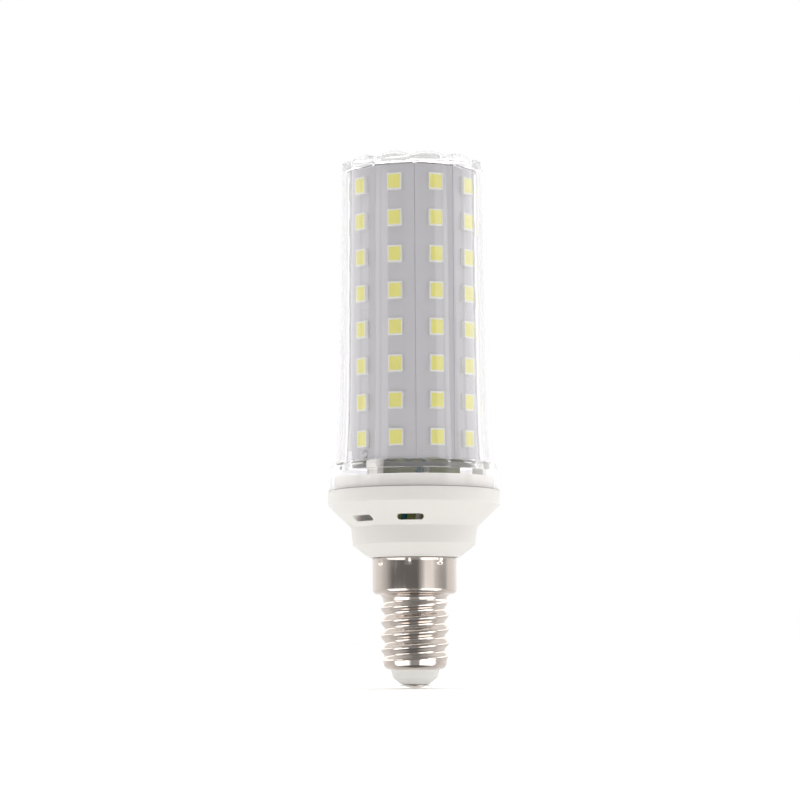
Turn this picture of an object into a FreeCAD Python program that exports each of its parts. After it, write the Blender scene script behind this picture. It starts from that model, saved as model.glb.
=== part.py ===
import FreeCAD, Part
import math
import os

from FreeCAD import Vector

# Corn lamp with an E14 screw cap.
# Origin: the tip of the end contact, on the lamp's axis. +Z runs up the lamp to the top of its cover.
# Angles are in degrees from the front (-Y) and grow towards +X.

# Thread of the cap, rolled, single start, right hand
thread_lead = 2.822
thread_major_diameter = 13.89
thread_depth = 0.8
thread_turns = 4.5
thread_runout_turns = 0.6
thread_start_angle = 324.4
thread_sections_per_turn = 5

# Screw shell
shell_sheet = 0.3
shell_bottom_height = 3.8
shell_bottom_rounding = 1.5
shell_mouth_radius = 4.35
skirt_radius = 8.6
skirt_length = 6.45
skirt_corner_share = 0.487

# End contact and its insulator
contact_dome_radius = 2.2
contact_dome_height = 0.55
contact_plate_radius = 2.95
contact_plate_height = 0.8
contact_shank_radius = 1.0
contact_shank_length = 5.7
insulator_boss_radius = 2.5
insulator_boss_height = 0.15
insulator_foot_radius = 3.0
insulator_bulge_radius = 4.6
insulator_bulge_height = 2.2
insulator_top_radius = 5.0
insulator_plug_height = 1.4
insulator_clearance = 0.05

# Housing, one moulding with a hollow spigot inside the shell's skirt
housing_wall = 1.1
spigot_clearance = 0.1
neck_radius = 9.2
barrel_radius = 12.6
barrel_draft = 0.3
neck_flare_height = 2.6
barrel_height = 3.5
cone_height = 4.6
band_radius = 17.6
band_height = 2.8
collar_height = 2.6
vent_angles = (-3.4, -46.4, 176.6, 133.6)
vent_width = 5.3
vent_opening = 1.2
vent_height_on_cone = 1.55
post_corners = (-1, 2, 5)
post_width = 2.0
post_depth = 2.2
post_height_above_seam = 5.0
post_length = 8.0
rail_lip = 0.9
rail_height = 7.0
moulding_root = 0.4

# Clear cover, one moulding
cover_fit_clearance = 0.1
cover_skirt_step = 0.1
cover_skirt_wall = 0.9
cover_skirt_height = 4.6
cover_shoulder = 0.9
cover_shoulder_rounding = 0.9
lobe_count = 12
first_cusp_angle = -1.0
lobe_depth = 0.8
cover_tip_wall = 0.8
cover_cusp_wall = 0.6
cover_top_wall = 2.2
cover_top_rounding = 1.2
cover_led_clearance = 0.2
cover_draft = 0.5
cover_flare = 0.7
cover_flare_height = 8.0
cover_head_gap = 0.3

# LED column: flat strips that stand in a ring on the base board
strip_count = 10
column_turn = 2.3
column_inset = 4.9
strip_thickness = 1.0
strip_side_gap = 0.04
leds_per_strip = 8
led_pitch = 7.43
strip_foot_margin = 4.0
strip_head_margin = 3.69
base_board_thickness = 1.1
base_board_margin = 0.25
top_board_thickness = 1.0
top_board_clearance = 0.1
top_board_drop = 0.65
top_led_count = 4
top_led_circle = 5.2

# LED package: a white moulding with its window of phosphor on top
led_width = 2.8
led_length = 3.5
led_height = 0.75
led_rim_side = 0.25
led_rim_end = 0.4
phosphor_depth = 0.1

# Driver board, upright across the housing
driver_edge_room = 2.0
driver_board_thickness = 1.0
driver_board_y = 1.0
driver_board_gap = 0.1
driver_board_lift = 0.6
driver_board_slot_clearance = 0.1
driver_tail_wall_room = 1.6
driver_tail_length = 8.0

# What is soldered to the driver board. A share is a part of half the board's width.
component_row_height = 1.0
electrolytic_radius_share = 0.42
electrolytic_x_share = 0.41
electrolytic_length = 12.0
film_width_share = 0.684
film_x_share = 0.484
film_depth = 4.0
film_head_room = 0.9
inductor_radius_share = 0.337
inductor_height_share = 0.59
package_length = 3.9
package_lead_gap = 0.1
bridge_depth = 2.4
bridge_height = 10.0
bridge_edge_margin = 0.75
chip_depth = 1.5
chip_height = 8.5
chip_edge_margin = 0.05
leg_width = 0.5
leg_reach = 0.8
leg_thickness = 0.3
fuse_radius = 1.2
fuse_length = 6.0
fuse_edge_margin = 0.9

# Leads
mains_lead_radius = 0.5
led_lead_radius = 0.55
neutral_lead_edge_margin = 2.0
lead_overlap_on_board = 1.6
led_lead_start_height = 4.5
plus_lead_shares = (-0.242, 0.137)
minus_lead_shares = (0.074, 0.295)

# Solder joints at the feet of two strips
solder_foot_radius = 0.9
solder_tip_radius = 0.35
solder_height = 0.6
solder_strips = (3, 8)

# Worked out from the sizes above
thread_major_radius = thread_major_diameter / 2
thread_minor_radius = thread_major_radius - thread_depth
thread_mean_radius = (thread_major_radius + thread_minor_radius) / 2
thread_offset = thread_depth / 2
thread_start_z = shell_bottom_height + shell_bottom_rounding
thread_end_z = thread_start_z + thread_turns * thread_lead
shell_bore = thread_minor_radius - shell_sheet
skirt_step = skirt_radius - thread_mean_radius
skirt_corner = skirt_step * skirt_corner_share
neck_corner = skirt_step - skirt_corner
skirt_start_z = thread_end_z + skirt_step
skirt_end_z = skirt_start_z + skirt_length
skirt_bore = skirt_radius - shell_sheet

spigot_radius = skirt_bore - spigot_clearance
spigot_foot_z = skirt_start_z + spigot_clearance
neck_bore = spigot_radius - housing_wall
barrel_bore = barrel_radius - housing_wall
cone_radius = barrel_radius + barrel_draft
barrel_z = skirt_end_z + neck_flare_height
cone_z = barrel_z + barrel_height
band_z = cone_z + cone_height
seam_z = band_z + band_height

cover_skirt_radius = band_radius - cover_skirt_step
cover_skirt_bore = cover_skirt_radius - cover_skirt_wall
collar_radius = cover_skirt_bore - cover_fit_clearance
collar_bore = collar_radius - housing_wall
collar_top_z = seam_z + collar_height
shoulder_z = seam_z + cover_skirt_height
tube_foot_z = shoulder_z + cover_shoulder

base_board_z = seam_z + post_height_above_seam
column_apothem = band_radius - column_inset
strip_foot_z = base_board_z + base_board_thickness
strip_length = strip_foot_margin + (leds_per_strip - 1) * led_pitch + strip_head_margin
strip_top_z = strip_foot_z + strip_length
half_step = math.radians(180 / strip_count)
column_corner_radius = column_apothem / math.cos(half_step)
column_bore = column_apothem - strip_thickness
strip_width = 2 * column_bore * math.tan(half_step) - strip_side_gap
base_board_radius = column_corner_radius + base_board_margin
top_board_z = strip_top_z - top_board_drop - top_board_thickness
top_board_apothem = column_bore - top_board_clearance

cover_cusp_bore = math.hypot(column_apothem + led_height, led_width / 2) + cover_led_clearance
cover_cusp_radius = cover_cusp_bore + cover_cusp_wall
cover_tip_radius = cover_cusp_radius + lobe_depth
cover_tip_bore = cover_tip_radius - cover_tip_wall
cover_ceiling_z = strip_top_z + cover_head_gap
cover_top_z = cover_ceiling_z + cover_top_wall

board_half_width = barrel_bore - driver_edge_room
tail_half_width = neck_bore - driver_tail_wall_room
driver_front_y = driver_board_y - driver_board_thickness / 2
driver_back_y = driver_board_y + driver_board_thickness / 2
driver_board_z = barrel_z + driver_board_lift
driver_board_top_z = base_board_z - driver_board_gap
driver_tail_z = driver_board_z - driver_tail_length
component_z = driver_board_z + component_row_height
electrolytic_radius = board_half_width * electrolytic_radius_share
electrolytic_x = -board_half_width * electrolytic_x_share
film_width = board_half_width * film_width_share
film_x = board_half_width * film_x_share
inductor_radius = board_half_width * inductor_radius_share
inductor_height = board_half_width * inductor_height_share
film_foot_z = component_z + 2 * inductor_radius
film_top_z = base_board_z - film_head_room
fuse_x = fuse_edge_margin + fuse_radius - tail_half_width
neutral_lead_x = tail_half_width - neutral_lead_edge_margin - mains_lead_radius
plus_lead_x = [board_half_width * share for share in plus_lead_shares]
minus_lead_x = [board_half_width * share for share in minus_lead_shares]
bridge_legs_x = (bridge_edge_margin - board_half_width, plus_lead_x[0] - package_lead_gap)
chip_legs_x = (minus_lead_x[1] + led_lead_radius + package_lead_gap, board_half_width - chip_edge_margin)
contact_shank_top_z = contact_plate_height + contact_shank_length


def turned(*corners):
    """The solid that a closed outline of corners (r, z) sweeps in one turn about the lamp's axis."""
    points = [Vector(r, 0, z) for r, z in corners]
    face = Part.Face(Part.makePolygon(points + points[:1]))
    return face.revolve(Vector(0, 0, 0), Vector(0, 0, 1), 360)


def on_rounding(centre_r, centre_z, radius, degrees):
    """The corner half way round a small rounding, which is made of two narrow cones."""
    angle = math.radians(degrees)
    return (centre_r + radius * math.cos(angle), centre_z + radius * math.sin(angle))


def polar(radius, angle, z):
    """A point at an angle from the front."""
    turn = math.radians(angle)
    return Vector(radius * math.sin(turn), -radius * math.cos(turn), z)


def facing(shape, angle):
    """A copy of a shape modelled at the front, carried round the axis to its own angle."""
    copy = shape.copy()
    copy.rotate(Vector(0, 0, 0), Vector(0, 0, 1), angle)
    return copy


def corner_angle(corner):
    """The direction of a corner of the LED column. The first one is near the front."""
    return 360 / strip_count * corner + column_turn


def block(x_range, y_range, z_range):
    """A box by its lowest and highest x, y and z."""
    size = [high - low for low, high in (x_range, y_range, z_range)]
    return Part.makeBox(size[0], size[1], size[2], Vector(x_range[0], y_range[0], z_range[0]))


def lead(points, radius):
    """A round wire along straight runs, mitred where they meet."""
    section = Part.Wire([Part.makeCircle(radius, points[0], points[1] - points[0])])
    mitred = 1
    return Part.makePolygon(points).makePipeShell([section], True, True, mitred)


def thread_section(turns):
    """The thread cut straight across: a circle whose centre runs round the axis once in each lead."""
    to_nearer_end = min(turns, thread_turns - turns)
    offset = thread_offset * min(1, to_nearer_end / thread_runout_turns)
    z = thread_start_z + turns * thread_lead
    centre = polar(offset, thread_start_angle + 360 * turns, z)
    return Part.Wire([Part.makeCircle(thread_mean_radius, centre, Vector(0, 0, 1))])


def make_screw_shell():
    """Nickel-plated shell: rolled-in bottom, thread, neck and smooth skirt."""
    section_count = round(thread_turns * thread_sections_per_turn)
    sections = [thread_section(thread_turns * i / section_count) for i in range(section_count + 1)]
    thread = Part.makeLoft(sections, True, True)

    roll_centre_r = thread_mean_radius - shell_bottom_rounding
    bottom = turned(
        (0, shell_bottom_height),
        (roll_centre_r, shell_bottom_height),
        on_rounding(roll_centre_r, thread_start_z, shell_bottom_rounding, -45),
        (thread_mean_radius, thread_start_z),
        (0, thread_start_z),
    )
    corner_r = skirt_radius - skirt_corner
    neck_top_z = thread_end_z + neck_corner
    skirt = turned(
        (0, thread_end_z),
        (thread_mean_radius, thread_end_z),
        on_rounding(corner_r, thread_end_z, neck_corner, 135),
        (corner_r, neck_top_z),
        on_rounding(corner_r, skirt_start_z, skirt_corner, -45),
        (skirt_radius, skirt_start_z),
        (skirt_radius, skirt_end_z),
        (0, skirt_end_z),
    )
    outside = thread.fuse([bottom, skirt])

    inner_floor_z = shell_bottom_height + shell_sheet
    cavity = turned(
        (0, shell_bottom_height - shell_sheet),
        (shell_mouth_radius, shell_bottom_height - shell_sheet),
        (shell_mouth_radius, inner_floor_z),
        (roll_centre_r, inner_floor_z),
        (shell_bore, thread_start_z),
        (shell_bore, thread_end_z + shell_sheet),
        (skirt_bore, skirt_start_z),
        (skirt_bore, skirt_end_z + shell_sheet),
        (0, skirt_end_z + shell_sheet),
    )
    return outside.cut(cavity)


def make_contact_rivet():
    """End contact: a domed plate with the shank that holds it in the insulator."""
    return turned(
        (0, 0),
        (contact_dome_radius / 2, contact_dome_height / 4),
        (contact_dome_radius, contact_dome_height),
        (contact_plate_radius, contact_dome_height),
        (contact_plate_radius, contact_plate_height),
        (contact_shank_radius, contact_plate_height),
        (contact_shank_radius, contact_shank_top_z),
        (0, contact_shank_top_z),
    )


def make_cap_insulator():
    """Bulging plastic cone between the end contact and the shell, with a plug that fills the shell's mouth."""
    foot_z = contact_plate_height + insulator_boss_height
    bore = contact_shank_radius + insulator_clearance
    plug_radius = shell_mouth_radius - insulator_clearance
    top_z = shell_bottom_height + shell_sheet + insulator_plug_height
    return turned(
        (bore, contact_plate_height),
        (insulator_boss_radius, contact_plate_height),
        (insulator_boss_radius, foot_z),
        (insulator_foot_radius, foot_z),
        (insulator_bulge_radius, insulator_bulge_height),
        (insulator_top_radius, shell_bottom_height),
        (plug_radius, shell_bottom_height),
        (plug_radius, top_z),
        (bore, top_z),
    )


def housing_cavity(grow):
    """The hollow inside the housing, wider all round by grow."""
    foot_z = spigot_foot_z - housing_wall
    top_z = base_board_z + housing_wall
    cone_rise = (collar_bore - barrel_bore) * cone_height / (band_radius - cone_radius)
    inner_cone_z = cone_z + housing_wall / 2
    return turned(
        (0, foot_z),
        (neck_bore + grow, foot_z),
        (neck_bore + grow, skirt_end_z + housing_wall / 2),
        (barrel_bore + grow, barrel_z + housing_wall),
        (barrel_bore + grow, inner_cone_z),
        (collar_bore + grow, inner_cone_z + cone_rise),
        (collar_bore + grow, top_z),
        (0, top_z),
    )


def vent_slot():
    """A round-ended slot cut level through the cone's wall, at the front."""
    half_height = vent_opening / 2
    half_straight = vent_width / 2 - half_height
    z = cone_z + vent_height_on_cone
    y = -band_radius
    corners = [
        Vector(half_straight, y, z - half_height),
        Vector(half_straight, y, z + half_height),
        Vector(-half_straight, y, z + half_height),
        Vector(-half_straight, y, z - half_height),
    ]
    edges = [
        Part.Arc(corners[0], Vector(vent_width / 2, y, z), corners[1]).toShape(),
        Part.makeLine(corners[1], corners[2]),
        Part.Arc(corners[2], Vector(-vent_width / 2, y, z), corners[3]).toShape(),
        Part.makeLine(corners[3], corners[0]),
    ]
    face = Part.Face(Part.Wire(edges))
    return face.extrude(Vector(0, band_radius - barrel_bore + housing_wall, 0))


def board_rail():
    """A grooved guide for one edge of the driver board, at the +X side."""
    half_groove = driver_board_thickness / 2 + driver_board_slot_clearance
    half_rail = half_groove + rail_lip
    edge_x = board_half_width
    foot_z = driver_board_z - rail_lip
    top_z = driver_board_z + rail_height
    body = block(
        (edge_x - rail_lip, collar_radius),
        (driver_board_y - half_rail, driver_board_y + half_rail),
        (foot_z, top_z),
    )
    groove = block(
        (edge_x - 2 * rail_lip, edge_x + driver_board_slot_clearance),
        (driver_board_y - half_groove, driver_board_y + half_groove),
        (driver_board_z, top_z + rail_lip),
    )
    return body.cut(groove)


def board_post():
    """A post that carries the base board, at the front, with the web that ties it to the wall."""
    outer_r = base_board_radius + housing_wall
    half = post_width / 2
    post = block(
        (-half, half),
        (-outer_r, post_depth - outer_r),
        (base_board_z - post_length, base_board_z),
    )
    web = block(
        (-half, half),
        (-collar_radius, post_depth - outer_r),
        (base_board_z - post_length, collar_top_z),
    )
    return post.fuse(web)


def make_housing():
    """White housing: spigot inside the shell, flared body with vents, and the collar for the cover."""
    outside = turned(
        (0, spigot_foot_z),
        (spigot_radius, spigot_foot_z),
        (spigot_radius, skirt_end_z),
        (neck_radius, skirt_end_z),
        (barrel_radius, barrel_z),
        (cone_radius, cone_z),
        (band_radius, band_z),
        (band_radius, seam_z),
        (collar_radius, seam_z),
        (collar_radius, collar_top_z),
        (0, collar_top_z),
    )
    shell = outside.cut(housing_cavity(0))
    rail = board_rail()
    mirrored_rail = rail.mirror(Vector(0, 0, 0), Vector(1, 0, 0))
    ribs = [rail, mirrored_rail] + [facing(board_post(), corner_angle(corner)) for corner in post_corners]
    room = housing_cavity(moulding_root)
    shell = shell.fuse([rib.common(room) for rib in ribs])
    return shell.cut([facing(vent_slot(), angle) for angle in vent_angles])


def fluted_outline(tip_radius, cusp_radius, z):
    """The cover's outline at one height: convex lobes that meet in sharp cusps."""
    lobe_angle = 360 / lobe_count
    edges = []
    for lobe in range(lobe_count):
        start = first_cusp_angle + lobe * lobe_angle
        cusp = polar(cusp_radius, start, z)
        tip = polar(tip_radius, start + lobe_angle / 2, z)
        next_cusp = polar(cusp_radius, start + lobe_angle, z)
        edges.append(Part.Arc(cusp, tip, next_cusp).toShape())
    return Part.Wire(edges)


def fluted_body(tip_radius, cusp_radius, foot_z, top_z):
    """A fluted column that widens downwards: an even draft and a flare at the foot."""
    bend_z = tube_foot_z + cover_flare_height / 2
    levels = [foot_z, bend_z, bend_z + cover_flare_height, top_z]
    full_height = cover_top_z - tube_foot_z
    sections = []
    for z in levels:
        above_foot = max(z - tube_foot_z, 0)
        draft = cover_draft * (1 - above_foot / full_height)
        flare = cover_flare * math.exp(-above_foot / cover_flare_height)
        extra = draft + flare
        if z == top_z:
            extra = 0
        sections.append(fluted_outline(tip_radius + extra, cusp_radius + extra, z))
    return Part.makeLoft(sections, True, True)


def make_clear_cover():
    """Clear cover: fluted tube, flat top with lobes rounded into it, shoulder, and skirt over the collar."""
    edge_z = cover_top_z - cover_top_rounding
    tube = fluted_body(cover_tip_radius, cover_cusp_radius, shoulder_z, edge_z)
    cap = Part.Face(fluted_outline(cover_tip_radius, cover_cusp_radius, edge_z))
    cap = cap.extrude(Vector(0, 0, cover_top_rounding))
    rounding_r = cover_tip_radius - cover_top_rounding
    dome = turned(
        (0, edge_z),
        (cover_tip_radius, edge_z),
        on_rounding(rounding_r, edge_z, cover_top_rounding, 45),
        (rounding_r, cover_top_z),
        (0, cover_top_z),
    )
    cap = cap.common(dome)
    shoulder_r = cover_skirt_radius - cover_shoulder_rounding
    rounding_z = tube_foot_z - cover_shoulder_rounding
    skirt = turned(
        (0, seam_z),
        (cover_skirt_radius, seam_z),
        (cover_skirt_radius, rounding_z),
        on_rounding(shoulder_r, rounding_z, cover_shoulder_rounding, 45),
        (shoulder_r, tube_foot_z),
        (0, tube_foot_z),
    )
    outside = skirt.fuse([tube, cap])
    bore = fluted_body(cover_tip_bore, cover_cusp_bore, shoulder_z - cover_shoulder, cover_ceiling_z)
    skirt_room = Part.makeCylinder(cover_skirt_bore, cover_skirt_height, Vector(0, 0, seam_z))
    return outside.cut([bore, skirt_room])


def strip_angle(index):
    """The direction that a strip faces, half way between two corners of the column."""
    return corner_angle(index + 0.5)


def make_led_strip(index):
    """One white-masked aluminium circuit strip."""
    strip = block(
        (-strip_width / 2, strip_width / 2),
        (-column_apothem, -column_bore),
        (strip_foot_z, strip_top_z),
    )
    return facing(strip, strip_angle(index))


def led_at_front(z):
    """The package and the phosphor of one LED on the front of the column."""
    face_y = -column_apothem
    window_y = face_y - led_height + phosphor_depth
    package = block(
        (-led_width / 2, led_width / 2),
        (window_y, face_y),
        (z - led_length / 2, z + led_length / 2),
    )
    half_width = led_width / 2 - led_rim_side
    half_length = led_length / 2 - led_rim_end
    phosphor = block(
        (-half_width, half_width),
        (face_y - led_height, window_y),
        (z - half_length, z + half_length),
    )
    return package, phosphor


def make_strip_leds(index):
    """The packages of one strip, and the phosphor in them."""
    first_z = strip_foot_z + strip_foot_margin
    leds = [led_at_front(first_z + row * led_pitch) for row in range(leds_per_strip)]
    angle = strip_angle(index)
    packages = [facing(package, angle) for package, phosphor in leds]
    phosphors = [facing(phosphor, angle) for package, phosphor in leds]
    return Part.makeCompound(packages), Part.makeCompound(phosphors)


def ring_board(corner_radius, foot_z, thickness):
    """A circuit board with one side to each strip."""
    corners = [polar(corner_radius, corner_angle(i), foot_z) for i in range(strip_count)]
    face = Part.Face(Part.makePolygon(corners + corners[:1]))
    return face.extrude(Vector(0, 0, thickness))


def make_base_board():
    """Circuit board that the strips stand on."""
    return ring_board(base_board_radius, base_board_z, base_board_thickness)


def make_top_board():
    """Circuit board set between the strips' tops."""
    corner_radius = top_board_apothem / math.cos(half_step)
    return ring_board(corner_radius, top_board_z, top_board_thickness)


def make_top_leds():
    """The LEDs on the top board, laid face up."""
    packages = []
    phosphors = []
    for i in range(top_led_count):
        for shape, group in zip(led_at_front(0), (packages, phosphors)):
            shape.translate(Vector(0, column_apothem, 0))
            shape.rotate(Vector(0, 0, 0), Vector(1, 0, 0), -90)
            shape.translate(Vector(0, -top_led_circle, top_board_z + top_board_thickness))
            group.append(facing(shape, 360 * i / top_led_count + column_turn))
    return Part.makeCompound(packages), Part.makeCompound(phosphors)


def make_driver_board():
    """Upright driver board: a wide part in the rails and a tail down the neck."""
    thickness = (driver_front_y, driver_back_y)
    body = block((-board_half_width, board_half_width), thickness, (driver_board_z, driver_board_top_z))
    tail = block((-tail_half_width, tail_half_width), thickness, (driver_tail_z, driver_board_z))
    return body.fuse(tail).removeSplitter()


def make_electrolytic_capacitor():
    """Can capacitor that lies along the back of the board."""
    centre = Vector(electrolytic_x, driver_back_y + electrolytic_radius, component_z)
    return Part.makeCylinder(electrolytic_radius, electrolytic_length, centre)


def make_film_capacitor():
    """Boxed film capacitor on the back of the board, above the inductor."""
    return block(
        (film_x - film_width / 2, film_x + film_width / 2),
        (driver_back_y, driver_back_y + film_depth),
        (film_foot_z, film_top_z),
    )


def make_inductor():
    """Sleeved drum inductor that stands on the back of the board."""
    centre = Vector(film_x, driver_back_y, component_z + inductor_radius)
    return Part.makeCylinder(inductor_radius, inductor_height, centre, Vector(0, 1, 0))


def surface_package(legs_x, depth, height_on_board, legs_per_side):
    """A moulded package on the front of the board. Flat legs stand out along both sides, and legs_x is their span."""
    z = driver_board_z + height_on_board
    body_x = (legs_x[0] + leg_reach, legs_x[1] - leg_reach)
    body = block(body_x, (driver_front_y - depth, driver_front_y), (z, z + package_length))
    legs = []
    for i in range(legs_per_side):
        leg_z = z + package_length * (i + 0.5) / legs_per_side
        leg_y = (driver_front_y - leg_thickness, driver_front_y)
        legs.append(block(legs_x, leg_y, (leg_z - leg_width / 2, leg_z + leg_width / 2)))
    return body.fuse(legs)


def make_fuse_resistor():
    """Fuse resistor on the front of the board's tail."""
    foot_z = driver_board_z - fuse_length - component_row_height
    centre = Vector(fuse_x, driver_front_y - fuse_radius, foot_z)
    return Part.makeCylinder(fuse_radius, fuse_length, centre)


def make_live_lead():
    """Straight lead from the shank of the end contact to the board's tail."""
    y = driver_front_y - mains_lead_radius
    length = driver_tail_z + lead_overlap_on_board - contact_shank_top_z
    return Part.makeCylinder(mains_lead_radius, length, Vector(0, y, contact_shank_top_z))


def make_neutral_lead():
    """Lead from the board's tail to the inside of the screw shell, below its neck."""
    y = driver_front_y - mains_lead_radius
    turn_z = thread_end_z - 2 * mains_lead_radius
    reach = math.sqrt(shell_bore ** 2 - (abs(y) + mains_lead_radius) ** 2) - spigot_clearance
    points = [
        Vector(neutral_lead_x, y, driver_tail_z + lead_overlap_on_board),
        Vector(neutral_lead_x, y, turn_z),
        Vector(reach, y, turn_z),
    ]
    return lead(points, mains_lead_radius)


def make_led_lead(lead_x):
    """Insulated lead that leans across the front of the board, up to the base board."""
    start_x, end_x = lead_x
    y = driver_front_y - led_lead_radius
    start = Vector(start_x, y, driver_board_z + led_lead_start_height)
    lean = math.atan2(abs(end_x - start_x), base_board_z - start.z)
    end = Vector(end_x, y, base_board_z - led_lead_radius * math.sin(lean))
    run = end - start
    return Part.makeCylinder(led_lead_radius, run.Length, start, run)


def make_solder_joints():
    """Solder cones at the feet of the two strips that the supply reaches."""
    cone = Part.makeCone(
        solder_foot_radius,
        solder_tip_radius,
        solder_height,
        Vector(0, -column_apothem, strip_foot_z + solder_foot_radius),
        Vector(0, -1, 0),
    )
    return Part.makeCompound([facing(cone, strip_angle(index)) for index in solder_strips])


def save(name, shape):
    """One sub-part to its own file."""
    shape.exportStep("parts/" + name + ".step")
    print(name, len(shape.Solids), "solid(s)", round(shape.Volume, 2), "mm3")


os.makedirs("parts", exist_ok=True)
save("clear_cover", make_clear_cover())
save("housing", make_housing())
save("screw_shell", make_screw_shell())
save("cap_insulator", make_cap_insulator())
save("contact_rivet", make_contact_rivet())
for strip_index in range(strip_count):
    number = "%02d" % (strip_index + 1)
    strip_packages, strip_phosphor = make_strip_leds(strip_index)
    save("led_strip_" + number, make_led_strip(strip_index))
    save("led_packages_" + number, strip_packages)
    save("led_phosphor_" + number, strip_phosphor)
top_packages, top_phosphor = make_top_leds()
save("top_board", make_top_board())
save("top_led_packages", top_packages)
save("top_led_phosphor", top_phosphor)
save("base_board", make_base_board())
save("driver_board", make_driver_board())
save("electrolytic_capacitor", make_electrolytic_capacitor())
save("film_capacitor", make_film_capacitor())
save("inductor", make_inductor())
save("bridge_rectifier", surface_package(bridge_legs_x, bridge_depth, bridge_height, 2))
save("driver_chip", surface_package(chip_legs_x, chip_depth, chip_height, 4))
save("fuse_resistor", make_fuse_resistor())
save("live_lead", make_live_lead())
save("neutral_lead", make_neutral_lead())
save("led_plus_lead", make_led_lead(plus_lead_x))
save("led_minus_lead", make_led_lead(minus_lead_x))
save("solder_joints", make_solder_joints())
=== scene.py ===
# %% [markdown]
# # A corn LED bulb, dressed
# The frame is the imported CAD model: every solid is already at its true size and place, in metres.
# The lamp stands on the tip of its end contact, +Z runs up its axis, and -Y is the side the camera sees.
# Each step below gives one piece or one finish its real look. Sizes are written in millimetres.

# %% Load the frame
import bpy
import math
from mathutils import Matrix, Vector


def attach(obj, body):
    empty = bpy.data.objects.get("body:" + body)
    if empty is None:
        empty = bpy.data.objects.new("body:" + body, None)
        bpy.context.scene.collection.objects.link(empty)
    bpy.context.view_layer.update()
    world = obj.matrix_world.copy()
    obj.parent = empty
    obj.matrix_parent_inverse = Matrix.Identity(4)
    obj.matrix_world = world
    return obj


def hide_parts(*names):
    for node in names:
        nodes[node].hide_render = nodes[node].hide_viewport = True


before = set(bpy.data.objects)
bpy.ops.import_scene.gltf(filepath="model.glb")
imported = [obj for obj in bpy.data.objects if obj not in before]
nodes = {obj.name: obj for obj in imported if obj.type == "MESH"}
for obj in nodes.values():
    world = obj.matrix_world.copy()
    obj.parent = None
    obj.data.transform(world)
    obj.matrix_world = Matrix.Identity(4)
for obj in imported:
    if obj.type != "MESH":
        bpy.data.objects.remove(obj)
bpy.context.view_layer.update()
MM = 0.001

# %% [markdown]
# ## Camera
# The photograph was taken with a long lens, level with the cap and 430 mm from the lamp's axis. The rings
# of the lamp look more and more curved towards the top, and that is how the height was found. A camera at
# the same place that is tilted up needs no lens shift, so every other view stays centred as well.

# %% Camera
CAMERA_DISTANCE = 430 * MM
CAMERA_HEIGHT = 9.7 * MM
AIM = Vector((-2.75 * MM, 0, 59.0 * MM))
LENS = 94.4
SENSOR_WIDTH = 36
ROLL = math.radians(-0.36)
NEAREST_SEEN = 10 * MM

camera_data = bpy.data.cameras.new("camera")
camera_data.lens = LENS
camera_data.sensor_width = SENSOR_WIDTH
camera_data.clip_start = NEAREST_SEEN
camera = bpy.data.objects.new("camera", camera_data)
bpy.context.scene.collection.objects.link(camera)
camera.location = (AIM.x, -CAMERA_DISTANCE, CAMERA_HEIGHT)
towards_aim = (AIM - camera.location).to_track_quat("-Z", "Y").to_matrix()
camera.rotation_euler = (towards_aim @ Matrix.Rotation(ROLL, 3, "Z")).to_euler()
bpy.context.scene.camera = camera
print("camera tilted up by", round(math.degrees(camera.rotation_euler.x) - 90, 2), "degrees")

# %% [markdown]
# ## Helpers for materials
# A finish is a small graph of nodes round one shader. These helpers keep each material short: one finds
# the shader, one makes a material, one adds a node, and one puts a material on the CAD's own meshes.

# %% Material helpers
def shader_of(material):
    """The shader of a material, where its plain numbers are set."""
    return material.node_tree.nodes["Principled BSDF"]


def new_finish(name, roughness, metallic=0.0, ior=1.5):
    """A material with its plain numbers set on the shader's own sockets."""
    material = bpy.data.materials.new(name)
    material.use_nodes = True
    shader = shader_of(material)
    shader.inputs["Roughness"].default_value = roughness
    shader.inputs["Metallic"].default_value = metallic
    shader.inputs["IOR"].default_value = ior
    return material


def add(tree, kind, **settings):
    """A node of a kind, with its settings."""
    made = tree.nodes.new(kind)
    for key, value in settings.items():
        setattr(made, key, value)
    return made


def dress(material, *names):
    """The material goes into every material slot of the named CAD nodes."""
    for name in names:
        for slot in nodes[name].material_slots:
            slot.material = material
    print(material.name, "on", len(names), "node(s)")


print("material helpers:", shader_of.__name__, new_finish.__name__, add.__name__, dress.__name__)

# %% [markdown]
# ## Shared effect: tone drift
# Moulded plastic, solder mask and plated metal are never quite even in colour. The unevenness could be
# painted, but a noise that is read from the place on the piece needs no picture and has no seams. It is a
# node group, so that every finish can use it with its own numbers.

# %% Node group: tone drift
PATCH_DETAIL = 3
NOISE_MIDDLE = 0.5


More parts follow.
